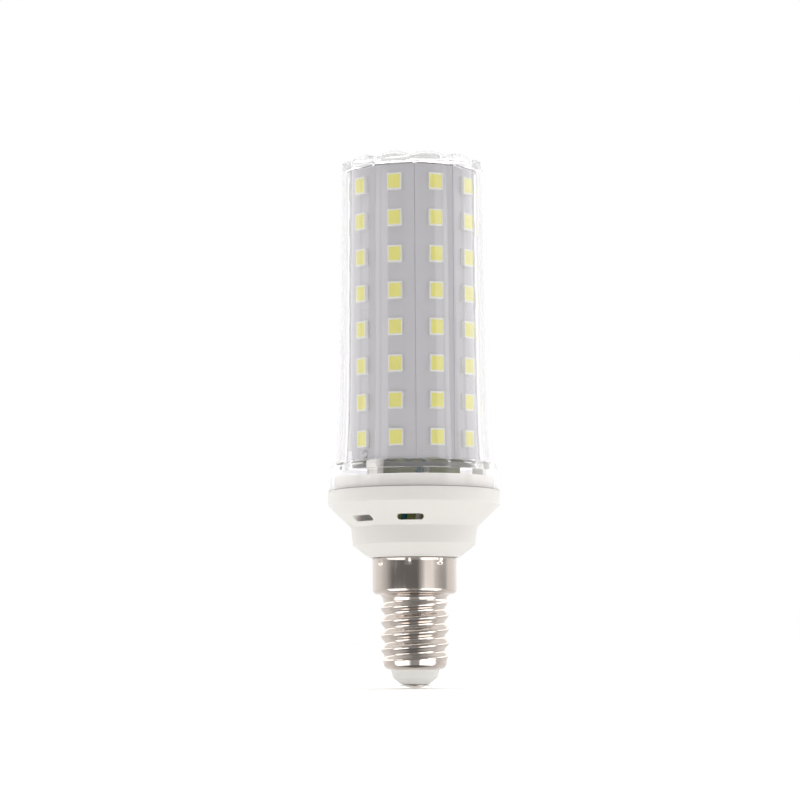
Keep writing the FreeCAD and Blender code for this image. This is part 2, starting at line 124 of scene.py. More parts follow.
def make_tone_drift():
    """Colour in, colour out, its brightness times 1 + amount * (noise - middle) in large soft patches."""
    group = bpy.data.node_groups.new("tone_drift", "ShaderNodeTree")
    group.interface.new_socket("Colour", in_out="INPUT", socket_type="NodeSocketColor")
    group.interface.new_socket("Amount", in_out="INPUT", socket_type="NodeSocketFloat")
    group.interface.new_socket("Scale", in_out="INPUT", socket_type="NodeSocketFloat")
    group.interface.new_socket("Colour", in_out="OUTPUT", socket_type="NodeSocketColor")
    start = add(group, "NodeGroupInput")
    end = add(group, "NodeGroupOutput")
    place = add(group, "ShaderNodeTexCoord")
    patches = add(group, "ShaderNodeTexNoise")
    patches.inputs["Detail"].default_value = PATCH_DETAIL
    centred = add(group, "ShaderNodeMath", operation="SUBTRACT")
    centred.inputs[1].default_value = NOISE_MIDDLE
    gain = add(group, "ShaderNodeMath", operation="MULTIPLY_ADD")
    gain.inputs[2].default_value = 1
    tinted = add(group, "ShaderNodeHueSaturation")
    group.links.new(place.outputs["Object"], patches.inputs["Vector"])
    group.links.new(start.outputs["Scale"], patches.inputs["Scale"])
    group.links.new(patches.outputs["Fac"], centred.inputs[0])
    group.links.new(centred.outputs[0], gain.inputs[0])
    group.links.new(start.outputs["Amount"], gain.inputs[1])
    group.links.new(gain.outputs[0], tinted.inputs["Value"])
    group.links.new(start.outputs["Colour"], tinted.inputs["Color"])
    group.links.new(tinted.outputs["Color"], end.inputs["Colour"])
    return group


tone_drift = make_tone_drift()
print("group", tone_drift.name, "with", len(tone_drift.nodes), "nodes")

# %% [markdown]
# ## Shared effect: fine relief
# A skin is also never quite smooth: a mould leaves a fine grain, and a die leaves marks along the way it
# was drawn. One fine noise gives both, because it can be stretched along the lamp. It comes out as a height
# for bumps and as a roughness.

# %% Node group: fine relief
GRAIN_DETAIL = 4


def make_fine_relief():
    """A fine noise that can be stretched along the lamp, as a height and as a roughness."""
    group = bpy.data.node_groups.new("fine_relief", "ShaderNodeTree")
    for name in ("Scale", "Stretch", "Roughness", "Spread"):
        group.interface.new_socket(name, in_out="INPUT", socket_type="NodeSocketFloat")
    group.interface.new_socket("Height", in_out="OUTPUT", socket_type="NodeSocketFloat")
    group.interface.new_socket("Roughness", in_out="OUTPUT", socket_type="NodeSocketFloat")
    start = add(group, "NodeGroupInput")
    end = add(group, "NodeGroupOutput")
    place = add(group, "ShaderNodeTexCoord")
    along = add(group, "ShaderNodeCombineXYZ")
    along.inputs["X"].default_value = 1
    along.inputs["Y"].default_value = 1
    stretched = add(group, "ShaderNodeVectorMath", operation="MULTIPLY")
    grain = add(group, "ShaderNodeTexNoise")
    grain.inputs["Detail"].default_value = GRAIN_DETAIL
    rough = add(group, "ShaderNodeMath", operation="MULTIPLY_ADD")
    group.links.new(start.outputs["Stretch"], along.inputs["Z"])
    group.links.new(place.outputs["Object"], stretched.inputs[0])
    group.links.new(along.outputs[0], stretched.inputs[1])
    group.links.new(stretched.outputs[0], grain.inputs["Vector"])
    group.links.new(start.outputs["Scale"], grain.inputs["Scale"])
    group.links.new(grain.outputs["Fac"], end.inputs["Height"])
    group.links.new(grain.outputs["Fac"], rough.inputs[0])
    group.links.new(start.outputs["Spread"], rough.inputs[1])
    group.links.new(start.outputs["Roughness"], rough.inputs[2])
    group.links.new(rough.outputs[0], end.inputs["Roughness"])
    return group


fine_relief = make_fine_relief()
print("group", fine_relief.name, "with", len(fine_relief.nodes), "nodes")

# %% [markdown]
# ## A finish from the two effects
# Most finishes of the lamp are the same graph with other numbers, so one function lays it out: a drifting
# colour, and a grain for the roughness and for the bumps.

# %% A finish from the two effects
def finish_of(name, colour, roughness, drift, grain, metallic=0.0, bump=0.01):
    """Both effects in one. drift is amount and scale, grain is scale, stretch and spread, bump is in mm."""
    drift_amount, drift_scale = drift
    grain_scale, stretch, spread = grain
    material = new_finish(name, roughness, metallic)
    shader = shader_of(material)
    tree = material.node_tree
    drifting = add(tree, "ShaderNodeGroup", node_tree=tone_drift)
    drifting.inputs["Colour"].default_value = (*colour, 1)
    drifting.inputs["Amount"].default_value = drift_amount
    drifting.inputs["Scale"].default_value = drift_scale
    tree.links.new(drifting.outputs["Colour"], shader.inputs["Base Color"])
    relief = add(tree, "ShaderNodeGroup", node_tree=fine_relief)
    relief.inputs["Scale"].default_value = grain_scale
    relief.inputs["Stretch"].default_value = stretch
    relief.inputs["Spread"].default_value = spread
    relief.inputs["Roughness"].default_value = roughness - spread / 2
    tree.links.new(relief.outputs["Roughness"], shader.inputs["Roughness"])
    raised = add(tree, "ShaderNodeBump")
    raised.inputs["Distance"].default_value = bump * MM
    raised.inputs["Strength"].default_value = 1
    tree.links.new(relief.outputs["Height"], raised.inputs["Height"])
    tree.links.new(raised.outputs["Normal"], shader.inputs["Normal"])
    return material


print("finishes are made by", finish_of.__name__)

# %% [markdown]
# ## White plastics
# The housing is a white polymer with a satin skin from its mould. Light goes a little way into it and comes
# out beside where it went in, so its shader has some subsurface scattering, and its edges and vents look
# soft. The cap's insulator is a lighter white with a slightly duller skin, and is too small to need that.

# %% White plastics
housing_white = finish_of(
    "housing_white", (0.83, 0.815, 0.79), 0.42, drift=(0.05, 90), grain=(3500, 1.0, 0.12)
)
housing_shader = shader_of(housing_white)
housing_shader.inputs["Subsurface Weight"].default_value = 0.6
housing_shader.inputs["Subsurface Radius"].default_value = (1.0, 0.95, 0.9)
housing_shader.inputs["Subsurface Scale"].default_value = 0.8 * MM
dress(housing_white, "housing")
insulator_white = finish_of(
    "insulator_white", (0.94, 0.935, 0.905), 0.45, drift=(0.08, 250), grain=(4000, 1.0, 0.1)
)
dress(insulator_white, "cap_insulator")

# %% [markdown]
# ## Plated metal
# The cap is thin sheet under bright nickel. It mirrors the studio, a little blurred, and the draw marks of
# the die run along the skirt, so its grain is stretched along the lamp. The end contact is the same metal,
# but duller.

# %% Plated metal
cap_nickel = finish_of(
    "cap_nickel", (0.76, 0.69, 0.64), 0.11, metallic=1.0,
    drift=(0.08, 150), grain=(2800, 0.08, 0.10), bump=0.009
)
dress(cap_nickel, "screw_shell")
contact_metal = finish_of(
    "contact_metal", (0.74, 0.69, 0.64), 0.25, metallic=1.0,
    drift=(0.1, 400), grain=(3000, 1.0, 0.15), bump=0.006
)
dress(contact_metal, "contact_rivet")

# %% [markdown]
# ## LED strips
# The strips are aluminium under a white solder mask. Their colour is set to a lilac grey, which is painted
# shade:
# the shade of the tent's dark front, seen through the cover. The packages are white mouldings with a window
# of yellow phosphor in clear silicone. The window could glow, but the lamp is off, so it is only a strong
# matt yellow.

# %% LED strips
# The mask is white, but its colour here is a lilac grey: painted shade of the tent's dark front.
strip_white = finish_of(
    "strip_white", (0.50, 0.495, 0.53), 0.38, drift=(0.05, 150), grain=(3000, 1.0, 0.1)
)
dress(strip_white, "top_board", "base_board")
led_body = finish_of("led_body", (0.74, 0.74, 0.70), 0.4, drift=(0.05, 400), grain=(5000, 1.0, 0.1))
led_phosphor = finish_of(
    "led_phosphor", (0.76, 0.72, 0.12), 0.35, drift=(0.18, 500), grain=(6000, 1.0, 0.15), bump=0.008
)
print("finishes of the strips:", strip_white.name, led_body.name, led_phosphor.name)

# %% [markdown]
# ## Inside the housing
# Little of the driver shows, through two vents and through the clear skirt of the cover, but its olive
# board and its teal lead do show. Its finishes differ only in colour and gloss, so one table holds them
# all: a name, a colour, a roughness and the nodes that wear it.

# %% Driver finishes
INSIDE = {
    "board_olive": ((0.42, 0.45, 0.16), 0.4, ("driver_board",)),
    "capacitor_sleeve": ((0.06, 0.07, 0.10), 0.3, ("electrolytic_capacitor",)),
    "film_red": ((0.45, 0.08, 0.05), 0.35, ("film_capacitor",)),
    "sleeve_black": ((0.03, 0.03, 0.03), 0.45, ("inductor",)),
    "chip_black": ((0.03, 0.03, 0.032), 0.5, ("bridge_rectifier", "driver_chip")),
    "fuse_body": ((0.32, 0.42, 0.40), 0.35, ("fuse_resistor",)),
    "lead_white": ((0.75, 0.75, 0.73), 0.4, ("live_lead", "neutral_lead", "led_minus_lead")),
    "lead_teal": ((0.02, 0.20, 0.21), 0.4, ("led_plus_lead",)),
}
for name, (colour, roughness, where) in INSIDE.items():
    dress(finish_of(name, colour, roughness, drift=(0.15, 200), grain=(2500, 1.0, 0.12)), *where)

# %% [markdown]
# ## Clear plastic
# The cover is clear plastic, and light is bent at each flute. It could be a thin see-through skin, but then
# nothing behind it would bend, so a shader with nearly full transmission does it from the real wall
# thickness. Its colour stays almost white, because the wall is thin. Light can run on inside a clear wall,
# mirrored again and again. The renderer gives up after a few bounces and leaves black, so the last one is
# given the pale grey of the tent that such light would have found.

# %% Clear plastic
LAST_BOUNCE = 5.5
TRAPPED_GREY = 0.8
cover_clear = new_finish("cover_clear", roughness=0.02, ior=1.49)
cover_shader = shader_of(cover_clear)
cover_shader.inputs["Transmission Weight"].default_value = 0.95
cover_shader.inputs["Base Color"].default_value = (0.975, 0.972, 0.98, 1)
cover_tree = cover_clear.node_tree
cover_path = add(cover_tree, "ShaderNodeLightPath")
trapped = add(cover_tree, "ShaderNodeMath", operation="GREATER_THAN")
trapped.inputs[1].default_value = LAST_BOUNCE
cover_tree.links.new(cover_path.outputs["Ray Depth"], trapped.inputs[0])
cover_tree.links.new(trapped.outputs[0], cover_shader.inputs["Emission Color"])
cover_shader.inputs["Emission Strength"].default_value = TRAPPED_GREY
dress(cover_clear, "clear_cover")

# %% [markdown]
# ## Modelling helpers
# Most new pieces start from a ring of vertices, and the ring is extruded upwards step by step, as on a
# lathe. Everything is deselected first, because the frame leaves its nodes selected and an operator acts on
# all of them. With no window open, transform.rotate turns the other way and ignores the pivot setting, so
# one helper sees to both.

# %% Start and turn a ring
RING_COUNT = 192
CUSP_TURN = math.radians(-1.0)
AXIS_FOOT = (0, 0, 0)


def fresh_start():
    """Back to object mode with nothing selected, before anything new is added."""
    if bpy.context.mode != "OBJECT":
        bpy.ops.object.mode_set(mode="OBJECT")
    bpy.ops.object.select_all(action="DESELECT")


def turn_selected(angle):
    """What is selected is turned about the lamp's axis."""
    bpy.ops.transform.rotate(value=-angle, orient_axis="Z", center_override=AXIS_FOOT)


def start_ring(radius, z):
    """A ring of vertices round the lamp's axis in a new object, in edit mode and selected."""
    fresh_start()
    bpy.ops.mesh.primitive_circle_add(vertices=RING_COUNT, radius=radius * MM, location=AXIS_FOOT)
    bpy.ops.object.mode_set(mode="EDIT")
    bpy.ops.mesh.select_all(action="SELECT")
    turn_selected(CUSP_TURN)
    bpy.ops.transform.translate(value=(0, 0, z * MM))
    return bpy.context.object


print("rings of", RING_COUNT, "vertices")

# %% [markdown]
# ## Profiles
# A turned piece is given by the corners of its outline, as a radius and a height each. A spin would turn an
# outline round the axis, but drawing a ring along it works for fluted and shifted rings as well.

# %% Draw a ring along a profile
def extrude_ring(scale, rise, shift=(0, 0)):
    """The selected ring is drawn out into the next one."""
    way = (shift[0] * MM, shift[1] * MM, rise * MM)
    bpy.ops.mesh.extrude_region_move(TRANSFORM_OT_translate={"value": way})
    bpy.ops.transform.resize(value=(scale, scale, 1), center_override=AXIS_FOOT)


def lathe(profile):
    """The selected ring is drawn through the (r, z) corners of a profile, from the first, where it is."""
    for (radius, z), (next_radius, next_z) in zip(profile, profile[1:]):
        extrude_ring(next_radius / radius, next_z - z)


def rounding(centre_r, centre_z, radius, start, end, steps=6):
    """The (r, z) corners of an arc, from one angle to another in degrees."""
    angles = [math.radians(start + (end - start) * i / steps) for i in range(steps + 1)]
    return [(centre_r + radius * math.cos(a), centre_z + radius * math.sin(a)) for a in angles]


print("a quarter rounding of 1 mm has", len(rounding(0, 0, 1, 0, 90)), "corners")

# %% [markdown]
# ## Select, join and finish
# In edit mode an operator works on the selected vertices, so each is picked by a test on its place.
# A finished piece is welded, has its faces turned outwards, sits at the origin with its place in its mesh,
# and is given its finish and made to ride on the lamp's one body.

# %% Select, join and finish
WELD = 0.005


def select_vertices(piece, wanted):
    """Selects the vertices whose place, in mm, passes a test."""
    bpy.ops.mesh.select_mode(type="VERT")
    bpy.ops.mesh.select_all(action="DESELECT")
    bpy.ops.object.mode_set(mode="OBJECT")
    for vertex in piece.data.vertices:
        vertex.select = wanted(vertex.co / MM)
    bpy.ops.object.mode_set(mode="EDIT")


def weld_all(distance=WELD):
    """Vertices closer than a distance in mm become one."""
    bpy.ops.mesh.select_all(action="SELECT")
    bpy.ops.mesh.remove_doubles(threshold=distance * MM)


def joined(pieces):
    """Several objects as one, which keeps the first one's name and is then in edit mode."""
    fresh_start()
    for piece in pieces:
        piece.select_set(True)
    bpy.context.view_layer.objects.active = pieces[0]
    bpy.ops.object.join()
    bpy.ops.object.mode_set(mode="EDIT")
    return pieces[0]


def finish_piece(piece, name, material, smooth_degrees=30):
    """Welds the piece, turns its faces outwards, and gives it its name, shading, finish and body."""
    weld_all()
    bpy.ops.mesh.select_all(action="SELECT")
    bpy.ops.mesh.normals_make_consistent(inside=False)
    bpy.ops.object.mode_set(mode="OBJECT")
    bpy.ops.object.transform_apply(location=True, rotation=True, scale=True)
    bpy.ops.object.shade_smooth_by_angle(angle=math.radians(smooth_degrees))
    piece.name = name
    piece.data.materials.clear()
    piece.data.materials.append(material)
    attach(piece, "root")
    size = Vector(piece.bound_box[6]) - Vector(piece.bound_box[0])
    print(name, len(piece.data.polygons), "faces,", [round(value / MM, 2) for value in size], "mm")


print("vertices within", WELD, "mm are welded")

# %% [markdown]
# ## Clear cover: one fluted outline
# The real cover is one moulding of twelve convex flutes that meet in sharp valleys. The outline could be
# drawn point by point, but spin makes true arcs: one vertex is spun into a flute, and the flute is copied
# round the axis. Each valley is then rounded a little, because no mould has a perfectly sharp edge.

# %% One fluted outline
LOBES = 12
VALLEY_STEPS = 4
LOBE_STEPS = RING_COUNT // LOBES - VALLEY_STEPS
AT_CUSP = 0.01


def fluted_ring(tip, cusp, z, valley):
    """Twelve spun arcs at one height in a new object, selected in edit mode. valley rounds the cusps."""
    half = math.pi / LOBES
    centre_r = (tip ** 2 - cusp ** 2) / (2 * (tip - cusp * math.cos(half)))
    arc_angle = 2 * math.atan2(cusp * math.sin(half), cusp * math.cos(half) - centre_r)
    front = CUSP_TURN - math.pi / 2
    start = Vector((math.cos(front), math.sin(front), 0)) * cusp * MM
    centre = Vector((math.cos(front + half), math.sin(front + half), 0)) * centre_r * MM
    fresh_start()
    bpy.ops.mesh.primitive_plane_add(size=MM, location=start)
    bpy.ops.object.transform_apply(location=True)
    bpy.ops.object.mode_set(mode="EDIT")
    bpy.ops.mesh.merge(type="CENTER")
    bpy.ops.mesh.spin(steps=LOBE_STEPS, angle=-arc_angle, center=centre, axis=(0, 0, 1))
    bpy.ops.mesh.select_all(action="SELECT")
    round_axis = 2 * math.pi - 2 * half
    bpy.ops.mesh.spin(steps=LOBES - 1, angle=round_axis, dupli=True, center=AXIS_FOOT, axis=(0, 0, 1))
    weld_all(2 * WELD)
    select_vertices(bpy.context.object, lambda place: place.to_2d().length < cusp + AT_CUSP)
    bpy.ops.mesh.bevel(affect="VERTICES", offset=valley * MM, segments=VALLEY_STEPS)
    bpy.ops.mesh.select_all(action="SELECT")
    bpy.ops.transform.translate(value=(0, 0, z * MM))
    return bpy.context.object


print(LOBES, "flutes of", LOBE_STEPS, "steps, valleys of", VALLEY_STEPS)

# %% [markdown]
# ## Clear cover: how the flutes rise
# The tube narrows slowly towards its top, so that it leaves its mould, and flares out at its foot, so every
# ring is drawn at the height and width that the frame's cover has there. The heights lie close together in
# the flare and far apart where the tube is almost straight.

# %% Flutes that follow the flare
COVER_TIP, COVER_CUSP = 15.123, 14.323
BORE_TIP, BORE_CUSP = 14.323, 13.723
TUBE_FOOT, COVER_TOP, CEILING = 45.504, 108.304, 106.104
DRAFT, FLARE, FLARE_HEIGHT = 0.5, 0.7, 8
FOOT_STEP = 0.2
RING_HEIGHTS = [FOOT_STEP, 1.2, 2.2, 3.5, 5.5, 8, 12, 18, 28, 42]


def flare(above):
    """How far the flutes stand out at a height above the tube's foot."""
    return DRAFT * (1 - above / (COVER_TOP - TUBE_FOOT)) + FLARE * math.exp(-above / FLARE_HEIGHT)


def draw_flutes(tip, last_height):
    """The selected fluted ring is drawn up to the last height, and follows the flare."""
    above, radius = FOOT_STEP, tip + flare(FOOT_STEP)
    for height in RING_HEIGHTS[1:] + [last_height]:
        next_radius = tip + (flare(height) if height < last_height else 0)
        extrude_ring(next_radius / radius, height - above)
        above, radius = height, next_radius


def bridge_foot(piece, foot_z):
    """The round ring at a foot is bridged to the fluted ring one step above it."""
    select_vertices(piece, lambda place: -AT_CUSP < place.z - foot_z < FOOT_STEP + AT_CUSP)
    bpy.ops.mesh.bridge_edge_loops()


foot_flare = flare(FOOT_STEP)
print("the tube is", round(2 * (COVER_TIP + foot_flare), 1), "mm across at its foot, and",
      2 * COVER_TIP, "at its top")

# %% [markdown]
# ## Clear cover: petals
# The top's edge is rounded, and the rounding follows each flute, so twelve petals ring the flat top.
# A bevel would round them all to one height. Instead the rounded rings are drawn level first, and then
# each vertex sinks the more, the nearer it is to a cusp.

# %% Petals
TOP_ROUNDING, ROUNDING_STEPS = 1.2, 6
PETAL_DROP, EDGE_WIDTH = 0.7, 1.2
ON_RING = 0.001


def cusp_share(place):
    """How far a place is from the middle of its flute, in twelfths of the way to a cusp."""
    flute = 2 * math.pi / LOBES
    turn = (math.atan2(place.y, place.x) + math.pi / 2 - CUSP_TURN) % flute
    return round(LOBE_STEPS * abs(2 * turn / flute - 1))


def select_share(piece, ring_z, share, innermost):
    """Selects those vertices of a ring that are equally far from a cusp."""
    def wanted(place):
        on_ring = abs(place.z - ring_z) < ON_RING and place.xy.length > innermost
        return on_ring and cusp_share(place) == share
    select_vertices(piece, wanted)


def round_petals(piece, edge_z):
    """The top rings sink towards each cusp, so that every flute ends in a petal of its own."""
    for step in range(1, ROUNDING_STEPS + 1):
        slope = math.radians(90 * step / ROUNDING_STEPS)
        rise = math.sin(slope)
        tip = COVER_TIP - TOP_ROUNDING * (1 - math.cos(slope))
        innermost = (tip - EDGE_WIDTH) if step == ROUNDING_STEPS else 0
        for share in range(1, LOBE_STEPS + 1):
            select_share(piece, edge_z + TOP_ROUNDING * rise, share, innermost)
            sink = PETAL_DROP * rise * (share / LOBE_STEPS) ** 2
            bpy.ops.transform.translate(value=(0, 0, -sink * MM))


print("petals sink by up to", PETAL_DROP, "mm in", LOBE_STEPS, "steps")

# %% [markdown]
# ## Clear cover: outside
# The skirt is round and the tube above it is fluted. Both are drawn up by themselves, the skirt as on a
# lathe and the tube from the fluted outline, and the narrow band between them is bridged. The two rings
# have equally many vertices, so the bridge is even. The skirt starts a little above the housing's ledge,
# leaving a gap for a dark ring of painted shade.

# %% Outside of the cover
SEAM, SKIRT_RADIUS, SEAM_GAP = 40.004, 17.5, 0.14
SHOULDER_ROUNDING, OUTER_VALLEY, FLAT_SHARE = 0.9, 0.15, 0.8
skirt_foot = (SKIRT_RADIUS, SEAM + SEAM_GAP)
cover = start_ring(*skirt_foot)
lathe([skirt_foot] + rounding(
    SKIRT_RADIUS - SHOULDER_ROUNDING, TUBE_FOOT - SHOULDER_ROUNDING, SHOULDER_ROUNDING, 0, 90
))
tube = fluted_ring(COVER_TIP + foot_flare, COVER_CUSP + foot_flare, TUBE_FOOT + FOOT_STEP, OUTER_VALLEY)
edge_z = COVER_TOP - TOP_ROUNDING
draw_flutes(COVER_TIP, edge_z - TUBE_FOOT)
lathe(rounding(COVER_TIP - TOP_ROUNDING, edge_z, TOP_ROUNDING, 0, 90, ROUNDING_STEPS))
extrude_ring(FLAT_SHARE, 0)
bpy.ops.mesh.edge_face_add()
round_petals(tube, edge_z)
cover = joined([cover, tube])
bridge_foot(cover, TUBE_FOOT)
print("outside of the cover,", len(cover.data.vertices), "vertices")

# %% [markdown]
# ## Clear cover: bore
# The inside is made the same way, with softer valleys, and closed by a flat ceiling over the strips' heads.
# Its foot ring lies on the outside's, so welding the two makes one wall of true thickness that can bend
# light. Light for the strips would have to come through this wall, and the renderer loses most of it there,
# so the cover is hidden from matt surfaces and casts no shadow.

# %% Bore of the cover
SKIRT_BORE, SKIRT_CEILING, INNER_VALLEY = 16.6, 43.75, 0.8
skirt_room = start_ring(*skirt_foot)
lathe([skirt_foot, (SKIRT_BORE, SEAM + SEAM_GAP), (SKIRT_BORE, SKIRT_CEILING)])
bore = fluted_ring(BORE_TIP + foot_flare, BORE_CUSP + foot_flare, SKIRT_CEILING + FOOT_STEP, INNER_VALLEY)
draw_flutes(BORE_TIP, CEILING - SKIRT_CEILING)
bpy.ops.mesh.edge_face_add()
skirt_room = joined([skirt_room, bore])
bridge_foot(skirt_room, SKIRT_CEILING)
finish_piece(joined([cover, skirt_room]), "cover_moulding", cover_clear)
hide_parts("clear_cover")
cover.visible_diffuse = False
cover.visible_shadow = False

# %% [markdown]
# ## Ring of painted shade in the seam
# A thin dark line of shade runs round the lamp where the cover stands on the housing. The cover casts no
# shadow here, so the line is painted shade: a low dark ring in the gap under the cover's foot, with its
# front edge rounded off by two small slopes. Its dull grey drifts strongly, so the line is uneven.

# %% Ring of painted shade under the cover's foot
BEAD_ROOM, BEAD_SLOPE = 0.01, 0.02
BEAD_FOOT, BEAD_TOP = SEAM + BEAD_ROOM, SEAM + SEAM_GAP - BEAD_ROOM
BEAD_BACK, BEAD_SIDE, BEAD_FRONT = SKIRT_BORE + 0.05, SKIRT_RADIUS - 0.05, SKIRT_RADIUS + 0.02
bead_outline = [
    (BEAD_SIDE, BEAD_FOOT), (BEAD_FRONT, BEAD_FOOT + BEAD_SLOPE), (BEAD_FRONT, BEAD_TOP - BEAD_SLOPE),
    (BEAD_SIDE, BEAD_TOP), (BEAD_BACK, BEAD_TOP), (BEAD_BACK, BEAD_FOOT), (BEAD_SIDE, BEAD_FOOT),
]
# The dull dark grey is painted shade for the seam's shadow line.
seam_shade_grey = finish_of("seam_shade_grey", (0.30, 0.28, 0.25), 0.5, drift=(0.5, 120), grain=(2500, 1.0, 0.2))
seam_shade_ring = start_ring(*bead_outline[0])
lathe(bead_outline)
finish_piece(seam_shade_ring, "seam_shade_ring", seam_shade_grey)

# %% [markdown]
# ## Screw shell: thread
# The thread is rolled into thin sheet. It could be a screw modifier's helix, but cut straight across, a
# rolled thread is simply a circle whose centre runs round the axis once in each lead. So a ring is extruded
# up the cap in short steps, and each step shifts it a little further round. At both ends the shift fades
# out, as the real thread runs out into plain sheet.

# %% Thread
LEAD, TURNS, RUNOUT = 2.822, 4.5, 0.6
THREAD_MEAN, THREAD_SHIFT = 6.545, 0.4
THREAD_START = math.radians(324.4)
THREAD_FOOT = 5.3
THREAD_HEAD = THREAD_FOOT + TURNS * LEAD
STEPS_PER_TURN = 28
MOUTH, ROLL_RADIUS = (4.35, 3.8), 1.5


def thread_centre(turns):
    """Where the ring's centre is, in mm, after so many turns of the thread."""
    offset = THREAD_SHIFT * min(1, min(turns, TURNS - turns) / RUNOUT)
    angle = THREAD_START + 2 * math.pi * turns
    return Vector((offset * math.sin(angle), -offset * math.cos(angle)))


cap_shell = start_ring(*MOUTH)
lathe([MOUTH] + rounding(THREAD_MEAN - ROLL_RADIUS, THREAD_FOOT, ROLL_RADIUS, -90, 0))
thread_steps = round(TURNS * STEPS_PER_TURN)
places = [thread_centre(TURNS * step / thread_steps) for step in range(thread_steps + 1)]
for place, next_place in zip(places, places[1:]):
    extrude_ring(1, LEAD / STEPS_PER_TURN, next_place - place)
print("thread of", TURNS, "turns in", thread_steps, "steps")

# %% [markdown]
# ## Screw shell: skirt
# Above the thread the sheet widens into a smooth skirt, which ends in a rim that stands out by less than a
# tenth of a millimetre. The same ring is drawn on, round both bends, over the rim and down the inside, back
# to where it began. A row of closely spaced rings near the rim gives the dents something to bend.

# %% Skirt and inside
CAP_SKIRT, CAP_RIM, BEND = 8.6, 26.3, 1.0
RIM_FLARE, RIM_HEIGHT, RIM_EDGE = 0.08, 0.6, 0.1
DENT_RINGS, DENT_RING_STEP, DENT_RINGS_DOWN = 14, 0.1, 1.9
SHEET, SHELL_BORE, ROLL_BORE = 0.3, 5.845, 4.9
neck = rounding(CAP_SKIRT - BEND, THREAD_HEAD, CAP_SKIRT - BEND - THREAD_MEAN, 180, 90)
skirt_z = THREAD_HEAD + CAP_SKIRT - THREAD_MEAN
corner = rounding(CAP_SKIRT - BEND, skirt_z, BEND, -90, 0)
dent_rings = [(CAP_SKIRT, CAP_RIM - DENT_RINGS_DOWN + DENT_RING_STEP * step) for step in range(DENT_RINGS)]
rim = [
    (CAP_SKIRT, CAP_RIM - RIM_HEIGHT),
    (CAP_SKIRT + RIM_FLARE, CAP_RIM - RIM_EDGE),
    (CAP_SKIRT + RIM_FLARE - RIM_EDGE, CAP_RIM),
]
inside = [
    (CAP_SKIRT - SHEET, CAP_RIM - RIM_EDGE), (CAP_SKIRT - SHEET, skirt_z),
    (SHELL_BORE, THREAD_HEAD), (SHELL_BORE, THREAD_FOOT),
    (ROLL_BORE, MOUTH[1] + SHEET), (MOUTH[0], MOUTH[1] + SHEET), MOUTH,
]
lathe(neck + corner[1:] + dent_rings + rim + inside)
weld_all()
print("screw shell,", len(cap_shell.data.vertices), "vertices before its dents")

# %% [markdown]
# ## Screw shell: dents
# Eight small dents press the skirt into the housing and lock the cap. Small spheres could be cut out of it,
# but that leaves sharp rims. So one vertex in the middle of each dent is pushed towards the axis, and
# proportional editing draws its neighbours along, less and less with their distance, as sheet metal does.

# %% Dents that lock the cap to the housing
DENTS, DENT_Z, DENT_TURN = 8, 25.4, math.radians(8.2)
DENT_RADIUS, DENT_SCALE = 0.6, 0.975


def dent_middle(place):
    """True for the one vertex nearest to the middle of each dent, on the outside of the skirt."""
    between_dents = 2 * math.pi / DENTS
    turn = (math.atan2(place.y, place.x) + math.pi / 2 + DENT_TURN) % between_dents
    turn = min(turn, between_dents - turn)
    on_outside = place.xy.length > CAP_SKIRT - RIM_EDGE
    return on_outside and abs(place.z - DENT_Z) < DENT_RING_STEP / 2 and turn < math.pi / RING_COUNT


select_vertices(cap_shell, dent_middle)
print("dents:", sum(vertex.select for vertex in cap_shell.data.vertices))
bpy.ops.transform.resize(
    value=(DENT_SCALE, DENT_SCALE, 1), center_override=AXIS_FOOT, use_proportional_edit=True,
    proportional_edit_falloff="SMOOTH", proportional_size=DENT_RADIUS * MM
)
finish_piece(cap_shell, "cap_shell", cap_nickel, smooth_degrees=40)
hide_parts("screw_shell")

# %% [markdown]
# ## LED column: blocks and copies
# Ten strips stand edge to edge in a ring, each with eight LEDs. One strip and one LED are made at the
# front, and everything else is a copy that is moved up and turned round the axis. Each copy has its own
# mesh, because a finished piece carries its place in its mesh.

# %% Block and copy helpers
def start_block(x_size, y_size, z_size, centre):
    """A block with its size and place in its mesh, in edit mode and selected."""
    fresh_start()
    middle = [value * MM for value in centre]
    bpy.ops.mesh.primitive_cube_add(size=MM, location=middle)
    bpy.ops.object.mode_set(mode="EDIT")
    bpy.ops.transform.resize(value=(x_size, y_size, z_size), center_override=middle)
    bpy.ops.object.mode_set(mode="OBJECT")
    bpy.ops.object.transform_apply(location=True, scale=True)
    bpy.ops.object.mode_set(mode="EDIT")
    bpy.ops.mesh.select_all(action="SELECT")
    return bpy.context.object


def copy_of(piece, angle=0.0, move=(0, 0, 0)):
    """A copy with its own mesh, moved and then turned about the lamp's axis."""
    fresh_start()
    piece.select_set(True)
    bpy.context.view_layer.objects.active = piece
    bpy.ops.object.duplicate()
    made = bpy.context.object
    bpy.ops.object.mode_set(mode="EDIT")
    bpy.ops.mesh.select_all(action="SELECT")
    bpy.ops.transform.translate(value=[value * MM for value in move])
    turn_selected(angle)
    return made


print("column helpers:", start_block.__name__, copy_of.__name__)

# %% [markdown]
# ## LED column: one strip
# A strip is a plain metal board. Two plain blocks side by side would leave a wedge of air between them,
# so the long edges are mitred: the block's back is made narrower. The two front edges are slightly rounded,
# since a cut board catches a thin line of light there.

# %% One strip at the front
STRIP_COUNT = 10
STRIP_STEP = 2 * math.pi / STRIP_COUNT
COLUMN_TURN = math.radians(2.3)
APOTHEM, STRIP_BACK, STRIP_FOOT, STRIP_TOP = 12.7, 11.7, 46.104, 105.804
STRIP_GAP, STRIP_ROUNDING = 0.04, 0.12


